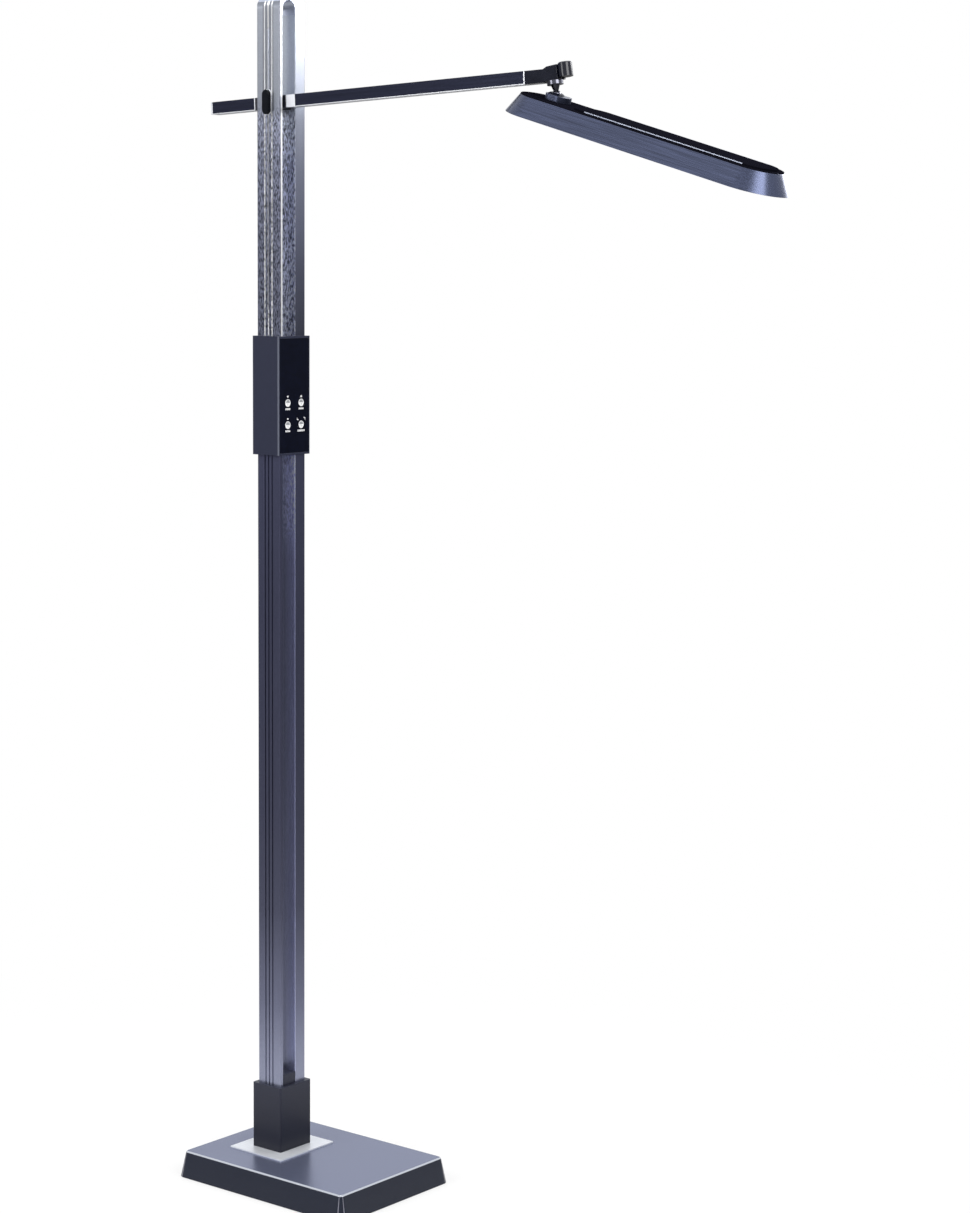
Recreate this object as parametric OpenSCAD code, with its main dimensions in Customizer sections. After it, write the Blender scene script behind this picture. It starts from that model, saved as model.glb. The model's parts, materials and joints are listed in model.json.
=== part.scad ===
// LED task floor lamp: a weighted base, a twin-profile column, a sliding and tilting cross arm,
// and a long bar head on a ball joint. Millimetres, +Z up.
// Origin: centre of the base's footprint on the floor. +X is the way the arm points.

/* [Base] */
// Length of the base top, along the arm
base_l = 261; // [225:1:300]
// Width of the base top
base_w = 189; // [160:1:220]
// Height of the base top above the floor
base_h = 33; // [31:1:42]
// Outward flare of the base sides at the floor
base_flare = 6.5; // [3:0.5:8]
// Corner radius of the base top
base_corner_r = 5; // [4:0.5:16]
// Bright chamfer along the top edge
base_chamfer = 1.6; // [0.8:0.1:2.2]
// Wall of the base cover
base_wall = 2.5; // [1.5:0.1:3]
// Thickness of the anti-slip pad
foot_pad_t = 2; // [1:0.1:3]
// Thickness of the steel floor plate
floor_plate_t = 2; // [1:0.1:3]
// Thickness of the iron weight
weight_t = 17; // [12:0.5:18]
// How far the column stands behind the base centre
column_back = 53; // [40:1:65]

/* [Foot] */
// Polished foot plate, along the arm
foot_plate_x = 86.5; // [70:0.5:100]
// Polished foot plate, across the arm
foot_plate_y = 96.5; // [75:0.5:110]
// Thickness of the foot plate
foot_plate_t = 1.6; // [1:0.1:3]
// Wall of the black socket sleeve
socket_wall = 5.3; // [3:0.1:6]
// Height of the socket sleeve above the foot plate
socket_h = 82; // [60:1:110]
// How far the channel insert stands above the sleeve
insert_proud = 14; // [5:1:25]
// Shank diameter of the foot bolts
foot_bolt_d = 6; // [4:0.5:7]

/* [Column] */
// Depth of the column, along the arm
column_depth = 36.5; // [32:0.5:42]
// Thickness of the fluted plate
fluted_t = 5.9; // [4.5:0.1:8]
// Width of the open channel between the profiles
channel_w = 21.5; // [20:0.1:26]
// Thickness of the box profile
box_profile_t = 17.6; // [13:0.1:22]
// Wall of the box profile
profile_wall = 2; // [1.5:0.1:3]
// Corner radius of the profiles
profile_r = 1.2; // [0.6:0.1:2]
// Pitch of the three flutes
flute_pitch = 5.8; // [5:0.1:7.5]
// Width of a flute
flute_w = 2; // [1:0.1:2.6]
// Depth of a flute
flute_depth = 1.4; // [0.6:0.1:2.5]
// Width of the slot behind the middle flute, for the clamp stud
slot_w = 3.3; // [3.2:0.1:4]
// Height of the slot's lower end above the controller
slot_rise = 31; // [20:0.5:60]
// Distance from the slot's upper end down from the box profile's top
slot_drop = 16.75; // [12:0.25:40]
// Height of the column's top above the floor
column_top = 1446; // [1400:2:1550]
// Outer radius of the rounded top corners
top_corner_r = 15; // [6:0.5:16]
// Thickness of the top bridge over the arch
top_bridge_t = 5.5; // [5:0.5:14]

/* [Controller] */
// Height of the controller's lower edge above the floor
controller_z = 901; // [780:1:920]
// Height of the controller box
controller_h = 143; // [120:1:150]
// Wall of the controller box at the ends of the channel
controller_wall_x = 3.35; // [3:0.05:6]
// Wall of the controller box beside the profiles
controller_wall_y = 5.8; // [3:0.05:7]
// Bevel of the controller's upright edges
controller_bevel = 2; // [0.5:0.1:2.4]
// How far each profile reaches into the controller
profile_engage = 25; // [15:1:26]
// Diameter of a touch key
key_d = 9; // [8:0.1:14]
// Spacing of the touch keys across the face
key_pitch_y = 23.5; // [18:0.1:26]
// Spacing of the touch keys up the face
key_pitch_z = 26.6; // [20:0.1:32]
// Height of the lower pair of keys above the controller's lower edge
key_low_z = 36.3; // [30:0.1:44]

/* [Arm] */
// Drop of the arm's pivot from the column's top
pivot_drop = 125; // [115:1:200]
// Upward slope of the arm
arm_tilt = 2.6; // [0:0.1:8]
// Width of the arm bar
arm_w = 15; // [12:0.1:15]
// Height of the arm bar
arm_h = 14.7; // [12:0.1:18]
// Wall of the arm tubes
tube_wall = 1.5; // [1:0.1:2.5]
// Length of the tail tube behind the hub
tail_l = 71; // [50:1:100]
// Length of the hub behind the pivot
hub_back = 30; // [24:0.5:36]
// Length of the hub ahead of the pivot
hub_front = 20.2; // [19:0.1:26]
// Length of the silver sleeve ahead of the hub
sleeve_l = 14.7; // [8:0.1:24]
// Length of the long arm tube
arm_tube_l = 343.4; // [280:0.2:360]
// Thickness of the silver rings
ring_t = 1.4; // [1:0.1:3]
// Thickness of the silver tail cap
tail_cap_t = 2.6; // [1:0.1:4]
// Length of the straight part of the end fitting
plug_l = 25.8; // [15:0.1:40]
// Diameter of the pivot pin
pin_d = 8; // [6:0.5:10]

/* [Clamp knob] */
// Height of the oval clamp knob
knob_h = 29; // [22:0.5:34]
// Width of the oval clamp knob
knob_w = 11.4; // [9:0.1:14]
// How far the knob stands out
knob_t = 5.2; // [4:0.1:8]
// Diameter of the clamp stud
stud_d = 3; // [2.4:0.1:3]

/* [Ball joint] */
// Lean of the ball stud from square to the arm
knuckle_lean = 6.4; // [0:0.1:10]
// Drop from the arm's axis to the ball's centre
stud_drop = 21; // [19.5:0.1:26]
// How far the stud's axis lies beyond the straight part of the end fitting
stud_ahead = 10.2; // [9.6:0.1:14]
// Height of the knuckle block round the stud
knuckle_h = 15.8; // [13:0.1:20]
// Radius of the round boss at the end of the arm
boss_r = 8; // [6:0.1:9]
// Height of the end boss
boss_h = 15.9; // [12:0.1:20]
// Radius of the ball
ball_r = 5.2; // [4.8:0.1:5.4]
// Thickness of the friction ring round the ball
seat_t = 0.8; // [0.7:0.05:0.9]
// Radius of the dome that holds the ball, at its foot
dome_r = 10.5; // [9.5:0.1:12]
// Height of the collar under the knuckle
collar_h = 4.5; // [3:0.1:6]

/* [Head] */
// Tilt of the head from square to the stud
head_tilt = 24.6; // [10:0.1:26]
// Length of the head at its lower edge
head_l = 371.5; // [330:0.5:420]
// Width of the head at its lower edge
head_w = 87.7; // [76:0.1:100]
// Height of the drafted side wall
head_h = 21.7; // [18:0.1:28]
// Inward draft of the side wall over its height
head_draft = 12.2; // [6:0.1:14]
// Wall of the head housing
head_wall = 1.8; // [1.2:0.1:2.5]
// How far the head reaches behind the ball
head_back = 53.3; // [50:0.1:70]
// Thickness of the black top cover
cover_t = 1; // [0.8:0.1:2]
// Height of the raised top panel
panel_t = 2; // [1:0.1:3]
// Width of the raised top panel
panel_w = 50; // [36:0.5:52]
// Width of the polished trim on the panel's long edges
trim_w = 0.8; // [0.6:0.1:2]
// Height of the polished trim
trim_h = 0.9; // [0.5:0.1:1]
// Height of the mounting block on the head
block_h = 6.7; // [6.4:0.1:7]
// Width of the mounting block
block_w = 23; // [20:0.5:28]
// How far the mounting block reaches ahead of the ball
block_front = 19.3; // [16:0.1:22]
// Space between the mounting block and the raised top panel
panel_gap = 16.4; // [4:0.2:40]
// Thickness of the light diffuser
diffuser_t = 2.5; // [1.5:0.1:4]
// Number of LED rows along the head
led_columns = 15; // [6:1:20]

/* [Hidden] */
$fn = 64;
fit = 0.1;             // clearance of fixed fits
glide = 0.2;           // clearance each side of flat sliding faces
bore_gap = 0.05;       // radial clearance of turning fits
seat_gap = 0.06;       // gap between the concentric ball surfaces
knob_gap = 0.3;        // gap behind the clamp knob
join = 1;              // overlap of solids that are one piece

column_x = -column_back;
column_w = fluted_t + channel_w + box_profile_t;
fluted_y = -column_w / 2;                       // outer face of the fluted plate
channel_y0 = fluted_y + fluted_t;
channel_y1 = channel_y0 + channel_w;
channel_mid = (channel_y0 + channel_y1) / 2;
box_mid = channel_y1 + box_profile_t / 2;

floor_top = foot_pad_t + floor_plate_t;
weight_top = floor_top + weight_t;
deck_z = base_h - base_wall;                    // underside of the base cover's top
plate_z = base_h;
socket_z = plate_z + foot_plate_t;
socket_top = socket_z + socket_h;
socket_x = column_depth + 2 * socket_wall;
socket_y = column_w + 2 * socket_wall;
socket_cavity_x = column_depth + 2 * fit;
socket_cavity_y = column_w + 2 * fit;
insert_top = socket_top + insert_proud;

foot_bolt_pitch = 18;
foot_bolt_head_d = 10;
foot_bolt_head_h = 5;
foot_bolt_grip = 30;
floor_screw_inset = 22;
floor_screw_bite = 6;
post_r = 5;
side_screw_d = 4;
side_screw_head_d = 7;
side_screw_head_h = 2.4;
side_screw_sink = 0.3;
side_screw_pitch = 34;
side_screw_l = 8;
socket_screw_spots = [for (s = [-1, 1]) [0, socket_z + socket_h / 2 + s * side_screw_pitch / 2]];

controller_x = column_depth + 2 * controller_wall_x;
controller_y = column_w + 2 * controller_wall_y;
controller_top = controller_z + controller_h;
lower_end = controller_z + profile_engage;
upper_start = controller_top - profile_engage;
web_t = 3;
controller_face = controller_x / 2;
panel_recess = 0.8;
panel_margin = 2.6;
touch_panel_y = controller_y - 2 * panel_margin;
touch_panel_z = controller_h - 2 * panel_margin;
key_proud = 0.25;
key_sink = 0.3;
pcb_t = 1.6;
spring_l = 3;
spring_r = 3.6;
pcb_x = column_depth / 2 + fit - spring_l - pcb_t / 2;
pcb_margin = 3;
driver_t = 9;
coupler_x0 = -column_depth / 2;
coupler_x1 = pcb_x - pcb_t / 2 - driver_t - fit;
coupler_end = web_t + 0.5;
coupler_screw_x = -6;
coupler_screw_spots = [[coupler_screw_x, lower_end - 10], [coupler_screw_x, upper_start + 10]];

pivot_z = column_top - pivot_drop;
arch_r = channel_w / 2;
arch_z = column_top - top_bridge_t - arch_r;    // centre of the arch
profile_top = arch_z - 6;
slot_z0 = controller_top + slot_rise;           // ends of the clamp stud's slot
slot_z1 = profile_top - slot_drop;
tenon_fit = 0.15;
bridge_tongue_l = 15;

cheek_gap = 0.75;                               // room for a friction washer beside the hub
cheek_y0 = arm_w / 2 + cheek_gap;
cheek_y1 = channel_w / 2 - glide;
cheek_l = 26;
cheek_h = 16;
washer_t = 0.5;
washer_r = 7.5;
tenon_l = 18;
tenon_w = arm_w - 2 * tube_wall - 2 * tenon_fit;
tenon_h = arm_h - 2 * tube_wall - 2 * tenon_fit;
sleeve_s = hub_front;
tube_s = sleeve_s + sleeve_l;
ring_s = tube_s + arm_tube_l;
plug_s = ring_s + ring_t;
plug_end = plug_s + plug_l;
stud_s = plug_end + stud_ahead;
tail_end = -hub_back - tail_l;

neck_top = 10.8;                                // from the ball's centre up to the collar
neck_sink = 2;                                   // overlap of the neck and the ball
neck_r0 = 2.6;
neck_r1 = 5.2;
collar_r = 9.2;
knuckle_z = neck_top + collar_h + glide;
shaft_r = 3;
shaft_l = 11;
clip_z = knuckle_z + 6;
clip_t = 1.2;
clip_r = 4.6;
knuckle_back = 4;
knuckle_front = 9.5;
knuckle_top = knuckle_z + knuckle_h;
boss_ahead = knuckle_front + 6.5;
boss_z = knuckle_z + 1.4;
boss_edge = 1;
seat_r0 = ball_r + seat_gap;
seat_r1 = seat_r0 + seat_t;
socket_r = seat_r1 + seat_gap;
mouth_angle = 70;                               // half angle of the joint's mouth
ring_below = 3.5;                               // depth of the seat ring below the ball's centre
mouth_lip = 1.25;
block_back = 12;
ball_height = 6.8;                              // ball centre above the head's top cover
cover_z = -ball_height;
block_top = cover_z + block_h;
dome_h = socket_r * cos(mouth_angle) - block_top;
deck_top = cover_z - cover_t;
head_bottom = deck_top - head_h;
head_ahead = head_l / 2 - head_back;            // head's middle, ahead of the ball
head_straight = head_l - head_w;
head_slope = head_draft / head_h;
top_l = head_l - 2 * head_draft;
top_w = head_w - 2 * head_draft;
cover_inset = 0.3;
deck_t = 1.8;
panel_start = block_front + panel_gap;
panel_end_gap = (top_w - panel_w) / 2;
panel_end = head_ahead + top_l / 2 - panel_end_gap;
spreader_t = 2;
spreader_gap = 0.4;
spreader_h1 = head_h - deck_t;                  // heights inside the head, from its lower edge
spreader_h0 = spreader_h1 - spreader_t;
board_t = 1.6;
board_h0 = spreader_h0 - board_t;
board_l = top_l - 2 * 20;
board_w = top_w - 2 * 10;
board_corner_r = 3;
chip_size = 5;
chip_t = 0.8;
chip_rows = 3;
chip_pitch_y = 14;
chip_end_gap = 10;
chip_start_gap = 50;
chip_field_l = board_l - chip_start_gap - chip_end_gap;
chip_shift = (chip_start_gap - chip_end_gap) / 2;
diffuser_h0 = 0.6;
diffuser_h1 = diffuser_h0 + diffuser_t;
lining_gap = 0.25;
bezel_h1 = diffuser_h1 + 1.5;
bezel_w = 6.4;
tray_t = 1.2;
tray_gap = 2;
head_screw_d = 3;
head_screw_head_t = 2;
head_screw_spots = [3 - block_back, block_front - 6];
head_screw_clear_r = head_screw_d + 0.5;

wire_r = 2.2;
wire_z = floor_top + weight_t / 2;
wire_bend_r = 14;
wire_top = lower_end + 10;
jack_w = 12;
jack_l = 16;
jack_x0 = -base_l / 2 + base_wall + 0.2;
jack_lip = base_wall + base_flare / 2;
jack_flange_r = 6.5;
jack_bore_r = 3.2;
jack_pin_r = 1.05;
jack_depth = 9.5;
knob_back = fluted_y - channel_mid - knob_gap;
knob_edge = 0.8;

// ---------- frames ----------

module at_column() {
    translate([column_x, 0, 0]) children();
}

// Arm frame: origin on the pivot, +X along the arm.
module at_pivot() {
    translate([column_x, channel_mid, pivot_z]) rotate([0, -arm_tilt, 0]) children();
}

// Stud frame: origin at the ball's centre, +Z up the stud.
module at_stud() {
    at_pivot() translate([stud_s, 0, 0]) rotate([0, -knuckle_lean, 0])
        translate([0, 0, -stud_drop]) children();
}

// Head frame: origin at the ball's centre, +X along the head, +Z square to its top.
module at_head() {
    at_stud() rotate([0, head_tilt, 0]) children();
}

// ---------- shared shapes ----------

module rounded_rect(l, w, r) {
    square([l - 2 * r, w], center = true);
    square([l, w - 2 * r], center = true);
    for (sx = [-1, 1], sy = [-1, 1])
        translate([sx * (l / 2 - r), sy * (w / 2 - r)]) circle(r);
}

module rounded_slab(l, w, r, h) {
    linear_extrude(h) rounded_rect(l, w, r);
}

module stadium_slab(l, w, h) {
    linear_extrude(h) {
        square([l - w, w], center = true);
        for (sx = [-1, 1]) translate([sx * (l - w) / 2, 0]) circle(w / 2);
    }
}

// Stadium with drafted walls: w0 wide at the bottom, w1 at the top, the same straight length.
module stadium_frustum(straight, w0, w1, h) {
    rotate([90, 0, 90]) translate([0, 0, -straight / 2]) linear_extrude(straight)
        polygon([[-w0 / 2, 0], [w0 / 2, 0], [w1 / 2, h], [-w1 / 2, h]]);
    for (sx = [-1, 1]) translate([sx * straight / 2, 0, 0]) cylinder(h, w0 / 2, w1 / 2, $fn = 96);
}

// Rounded box with drafted walls: corner centres at cx, cy, corner radius r0 below and r1 above.
module drafted_block(cx, cy, r0, r1, h) {
    rotate([90, 0, 90]) translate([0, 0, -cx]) linear_extrude(2 * cx)
        polygon([[-cy - r0, 0], [cy + r0, 0], [cy + r1, h], [-cy - r1, h]]);
    rotate([90, 0, 0]) translate([0, 0, -cy]) linear_extrude(2 * cy)
        polygon([[-cx - r0, 0], [cx + r0, 0], [cx + r1, h], [-cx - r1, h]]);
    for (sx = [-1, 1], sy = [-1, 1]) translate([sx * cx, sy * cy, 0]) cylinder(h, r0, r1);
}

// Bar along X from s0 to s1, centred on the arm's axis.
module bar(s0, s1, w, h) {
    translate([s0, -w / 2, -h / 2]) cube([s1 - s0, w, h]);
}

module tube(s0, s1) {
    difference() {
        bar(s0, s1, arm_w, arm_h);
        bar(s0 - join, s1 + join, arm_w - 2 * tube_wall, arm_h - 2 * tube_wall);
    }
}

// Rod along Y from y0 to y1.
module rod_y(y0, y1, r) {
    translate([0, y0, 0]) rotate([-90, 0, 0]) cylinder(y1 - y0, r, r);
}

module base_block(grow0, grow1, z0, z1) {
    translate([0, 0, z0])
        drafted_block(base_l / 2 - base_corner_r, base_w / 2 - base_corner_r,
                      base_corner_r + grow0, base_corner_r + grow1, z1 - z0);
}

// ---------- base ----------

module base_pad() color("#1b1b1d") {
    rounded_slab(base_l + 2 * base_flare - 6, base_w + 2 * base_flare - 6,
                 base_corner_r + base_flare - 3, foot_pad_t);
}

module floor_plate() color("#3a3c40") difference() {
    translate([0, 0, foot_pad_t])
        rounded_slab(base_l + base_flare - 2 * base_wall - 2, base_w + base_flare - 2 * base_wall - 2,
                     base_corner_r, floor_plate_t);
    floor_screw_places() cylinder(base_h, side_screw_d / 2 + fit, side_screw_d / 2 + fit);
    floor_screw_places() translate([0, 0, foot_pad_t])
        cylinder(floor_plate_t, side_screw_head_d / 2 + fit, side_screw_d / 2 + fit);
}

module floor_screw_places() {
    for (sx = [-1, 1], sy = [-1, 1])
        translate([sx * (base_l / 2 - floor_screw_inset), sy * (base_w / 2 - floor_screw_inset), 0])
            children();
}

module base_weight() color("#2b2b2d") difference() {
    translate([0, 0, floor_top])
        rounded_slab(base_l - 2 * base_wall - 4, base_w - 2 * base_wall - 4, base_corner_r - 2, weight_t);
    floor_screw_places() cylinder(base_h, side_screw_d / 2 + fit, side_screw_d / 2 + fit);
    at_column() wire_path(wire_r + 2);
    translate([jack_x0 - join, box_mid - jack_w / 2 - 1, floor_top - join])
        cube([jack_l + 2 + join, jack_w + 2, weight_t + 2 * join]);
}

module floor_screws() color("#8d9095") {
    floor_screw_places() {
        translate([0, 0, foot_pad_t]) cylinder(floor_plate_t, side_screw_head_d / 2, side_screw_d / 2);
        translate([0, 0, foot_pad_t + join])
            cylinder(weight_top + floor_screw_bite - foot_pad_t - join, side_screw_d / 2, side_screw_d / 2);
    }
}

// The lamp's own lead inside the base and the box profile.
module wire_path(r) {
    x0 = jack_x0 - column_x + jack_l;
    translate([x0, box_mid, wire_z]) rotate([0, 90, 0]) cylinder(-wire_bend_r - x0, r, r);
    translate([-wire_bend_r, box_mid, wire_z + wire_bend_r]) rotate([90, 0, 0])
        rotate([0, 0, 270]) rotate_extrude(angle = 90) translate([wire_bend_r, 0]) circle(r);
    translate([0, box_mid, wire_z + wire_bend_r]) cylinder(wire_top - wire_z - wire_bend_r, r, r);
    translate([0, box_mid, wire_top]) sphere(r);
    translate([0, box_mid, wire_top]) rotate([0, 90, 0]) cylinder(pcb_x - pcb_t / 2, r, r);
}

module lower_wire() color("#141414") {
    at_column() wire_path(wire_r);
}

module base_cover() color("#22242c") difference() {
    union() {
        difference() {
            union() {
                base_block(base_flare, 0, foot_pad_t / 2, base_h - base_chamfer);
                base_block(0, -base_chamfer, base_h - base_chamfer, base_h);
            }
            base_block(base_flare - base_wall, -base_wall, 0, deck_z);
        }
        floor_screw_places() translate([0, 0, weight_top])
            cylinder(deck_z + join - weight_top, post_r, post_r);
    }
    floor_screw_places() translate([0, 0, weight_top - join])
        cylinder(floor_screw_bite + 2 * join, side_screw_d / 2 + bore_gap, side_screw_d / 2 + bore_gap);
    at_column() {
        foot_bolt_places() cylinder(2 * base_h, foot_bolt_d / 2 + fit, foot_bolt_d / 2 + fit);
        translate([0, box_mid, 0]) cylinder(2 * base_h, wire_r + 1, wire_r + 1);
    }
    jack_at() rotate([0, -90, 0]) cylinder(base_wall * 4, jack_flange_r + fit, jack_flange_r + fit);
}

module jack_at() {
    translate([jack_x0, box_mid, wire_z]) children();
}

module power_jack() color("#101012") jack_at() {
    difference() {
        union() {
            translate([0, -jack_w / 2, -jack_w / 2]) cube([jack_l - 0.3, jack_w, jack_w]);
            rotate([0, -90, 0]) cylinder(jack_lip, jack_flange_r, jack_flange_r);
        }
        translate([-jack_lip - join, 0, 0]) rotate([0, 90, 0])
            cylinder(jack_depth + join, jack_bore_r, jack_bore_r);
    }
    translate([-jack_lip + 1.5, 0, 0]) rotate([0, 90, 0]) cylinder(jack_depth, jack_pin_r, jack_pin_r);
}

// ---------- foot ----------

module foot_bolt_places() {
    for (sx = [-1, 1]) translate([sx * foot_bolt_pitch / 2, channel_mid, 0]) children();
}

module foot_plate() color("#d5d7da") at_column() difference() {
    translate([0, 0, plate_z]) rounded_slab(foot_plate_x, foot_plate_y, 1, foot_plate_t);
    foot_bolt_places() cylinder(2 * base_h, foot_bolt_d / 2 + fit, foot_bolt_d / 2 + fit);
    translate([0, box_mid, 0]) cylinder(2 * base_h, wire_r + 1, wire_r + 1);
}

module socket_sleeve() color("#121419") at_column() difference() {
    translate([0, 0, socket_z]) rounded_slab(socket_x, socket_y, controller_bevel, socket_h);
    translate([0, 0, socket_z - join])
        rounded_slab(socket_cavity_x, socket_cavity_y, profile_r, socket_h + 2 * join);
}

module channel_insert() color("#101216") at_column() difference() {
    translate([-column_depth / 2, channel_y0 + fit, socket_z])
        cube([column_depth, channel_w - 2 * fit, insert_top - socket_z]);
    foot_bolt_places() translate([0, 0, socket_z - join])
        cylinder(foot_bolt_grip + join, foot_bolt_d / 2 + bore_gap, foot_bolt_d / 2 + bore_gap);
    side_screw_holes(socket_screw_spots);
}

module foot_bolts() color("#8d9095") at_column() foot_bolt_places() {
    translate([0, 0, deck_z - foot_bolt_head_h])
        cylinder(foot_bolt_head_h, foot_bolt_head_d / 2, foot_bolt_head_d / 2);
    translate([0, 0, deck_z - join])
        cylinder(base_wall + foot_plate_t + foot_bolt_grip - 1 + join, foot_bolt_d / 2, foot_bolt_d / 2);
}

// Screws from both sides into the bar between the profiles, at a list of [x, z] spots.
module side_screws(spots) {
    head_y = fluted_y + side_screw_sink;
    inner_y = channel_y1 + profile_wall;
    for (p = spots) translate([p[0], 0, p[1]]) {
        rod_y(head_y, head_y + side_screw_head_h, side_screw_head_d / 2);
        rod_y(head_y, channel_y0 + side_screw_l - 1, side_screw_d / 2);
        rod_y(inner_y, inner_y + side_screw_head_h, side_screw_head_d / 2);
        rod_y(channel_y1 - side_screw_l + 1, inner_y + 1, side_screw_d / 2);
    }
}

module side_screw_holes(spots) {
    for (p = spots) translate([p[0], 0, p[1]]) {
        rod_y(fluted_y - join, fluted_y + side_screw_sink + side_screw_head_h, side_screw_head_d / 2 + fit);
        rod_y(fluted_y - join, channel_y0 + side_screw_l, side_screw_d / 2 + bore_gap);
        rod_y(channel_y1 - side_screw_l, channel_y1 + profile_wall + join, side_screw_d / 2 + bore_gap);
    }
}

module socket_screws() color("#8d9095") at_column() side_screws(socket_screw_spots);

// ---------- column ----------

module fluted_section(z0, z1, slot) difference() {
    translate([0, fluted_y + fluted_t / 2, z0]) rounded_slab(column_depth, fluted_t, profile_r, z1 - z0);
    for (i = [-1, 0, 1])
        translate([i * flute_pitch - flute_w / 2, fluted_y - join, z0 - join])
            cube([flute_w, flute_depth + join, z1 - z0 + 2 * join]);
    if (slot)
        translate([-slot_w / 2, fluted_y - join, slot_z0])
            cube([slot_w, fluted_t + 2 * join, slot_z1 - slot_z0]);
}

module box_section(z0, z1) difference() {
    translate([0, box_mid, z0]) rounded_slab(column_depth, box_profile_t, profile_r, z1 - z0);
    translate([0, box_mid, z0 - join])
        rounded_slab(column_depth - 2 * profile_wall, box_profile_t - 2 * profile_wall, profile_r / 2,
                     z1 - z0 + 2 * join);
}

module lower_fluted_plate() color("#555a70") at_column() difference() {
    fluted_section(socket_z, lower_end, false);
    side_screw_holes(socket_screw_spots);
    side_screw_holes(coupler_screw_spots);
}

module lower_box_profile() color("#555a70") at_column() difference() {
    box_section(socket_z, lower_end);
    side_screw_holes(socket_screw_spots);
    side_screw_holes(coupler_screw_spots);
}

module upper_fluted_plate() color("#8a8d98") at_column() difference() {
    fluted_section(upper_start, profile_top, true);
    side_screw_holes(coupler_screw_spots);
}

module upper_box_profile() color("#8a8d98") at_column() difference() {
    box_section(upper_start, profile_top);
    side_screw_holes(coupler_screw_spots);
}

module top_outline() {
    half = column_w / 2;
    r = top_corner_r;
    for (s = [-1, 1]) translate([s * (half - r), column_top - r]) circle(r);
    translate([-half + r, profile_top]) square([column_w - 2 * r, column_top - profile_top]);
    translate([-half, profile_top]) square([column_w, column_top - r - profile_top]);
}

module top_arch() difference() {
    top_outline();
    translate([channel_mid, arch_z]) circle(arch_r);
    translate([channel_y0, profile_top - join]) square([channel_w, arch_z - profile_top + join]);
}

// Bridge that joins the two profiles over the channel: an arch below, rounded corners above.
module top_bridge() color("#8a8d98") at_column() difference() {
    union() {
        intersection() {
            translate([-column_depth / 2, 0, 0]) rotate([90, 0, 90]) linear_extrude(column_depth) top_arch();
            translate([0, 0, profile_top])
                rounded_slab(column_depth, column_w, profile_r, column_top - profile_top);
        }
        translate([0, box_mid, profile_top - bridge_tongue_l])
            rounded_slab(column_depth - 2 * profile_wall - 2 * tenon_fit,
                         box_profile_t - 2 * profile_wall - 2 * tenon_fit, profile_r / 2,
                         bridge_tongue_l + join);
    }
    for (i = [-1, 0, 1])
        translate([i * flute_pitch - flute_w / 2, fluted_y - join, profile_top - join])
            cube([flute_w, flute_depth + join, column_top - profile_top]);
}

// ---------- controller ----------

module key_places() {
    for (sy = [-1, 1], row = [0, 1])
        translate([0, sy * key_pitch_y / 2, controller_z + key_low_z + row * key_pitch_z]) children();
}

module controller_housing() color("#15171f") at_column() difference() {
    translate([0, 0, controller_z]) rounded_slab(controller_x, controller_y, controller_bevel, controller_h);
    translate([0, 0, controller_z + web_t])
        rounded_slab(socket_cavity_x, socket_cavity_y, profile_r, controller_h - 2 * web_t);
    for (z = [controller_z - join, controller_top - web_t - join]) {
        translate([0, fluted_y + fluted_t / 2, z])
            rounded_slab(socket_cavity_x, fluted_t + 2 * fit, profile_r, web_t + 2 * join);
        translate([0, box_mid, z])
            rounded_slab(socket_cavity_x, box_profile_t + 2 * fit, profile_r, web_t + 2 * join);
    }
    translate([controller_face - panel_recess, -touch_panel_y / 2 - fit, controller_z + panel_margin - fit])
        cube([panel_recess + join, touch_panel_y + 2 * fit, touch_panel_z + 2 * fit]);
}

// Aluminium bar inside the controller that joins the lower and the upper column.
module column_coupler() color("#9a9da2") at_column() difference() {
    translate([coupler_x0, channel_y0 + fit, controller_z + coupler_end])
        cube([coupler_x1 - coupler_x0, channel_w - 2 * fit, controller_h - 2 * coupler_end]);
    side_screw_holes(coupler_screw_spots);
}

module coupler_screws() color("#8d9095") at_column() side_screws(coupler_screw_spots);

module controller_board() color("#1f6b3c") at_column() {
    translate([pcb_x - pcb_t / 2, -column_w / 2, lower_end + pcb_margin])
        cube([pcb_t, column_w, upper_start - lower_end - 2 * pcb_margin]);
}

module led_driver() color("#2a2a2e") at_column() {
    translate([pcb_x - pcb_t / 2 - driver_t, channel_y0 + 1, lower_end + controller_h / 4])
        cube([driver_t, channel_w - 2, controller_h / 4]);
}

module touch_springs() color("#c9a24a") at_column() key_places() {
    translate([pcb_x + pcb_t / 2, 0, 0]) rotate([0, 90, 0]) difference() {
        cylinder(spring_l - fit, spring_r, spring_r);
        translate([0, 0, -join]) cylinder(spring_l + 2 * join, spring_r - 1, spring_r - 1);
    }
}

module touch_panel() color("#0b0c10") at_column() difference() {
    translate([controller_face - panel_recess, -touch_panel_y / 2, controller_z + panel_margin])
        cube([panel_recess, touch_panel_y, touch_panel_z]);
    key_places() translate([controller_face - key_sink, 0, 0]) rotate([0, 90, 0])
        cylinder(panel_recess + join, key_d / 2 + fit / 2, key_d / 2 + fit / 2);
}

module touch_keys() color("#d6dade") at_column() key_places() {
    translate([controller_face - key_sink, 0, 0]) rotate([0, 90, 0])
        cylinder(key_sink + key_proud, key_d / 2, key_d / 2);
}

// ---------- carriage, clamp and arm ----------

module at_carriage() {
    translate([column_x, channel_mid, pivot_z]) children();
}

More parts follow.
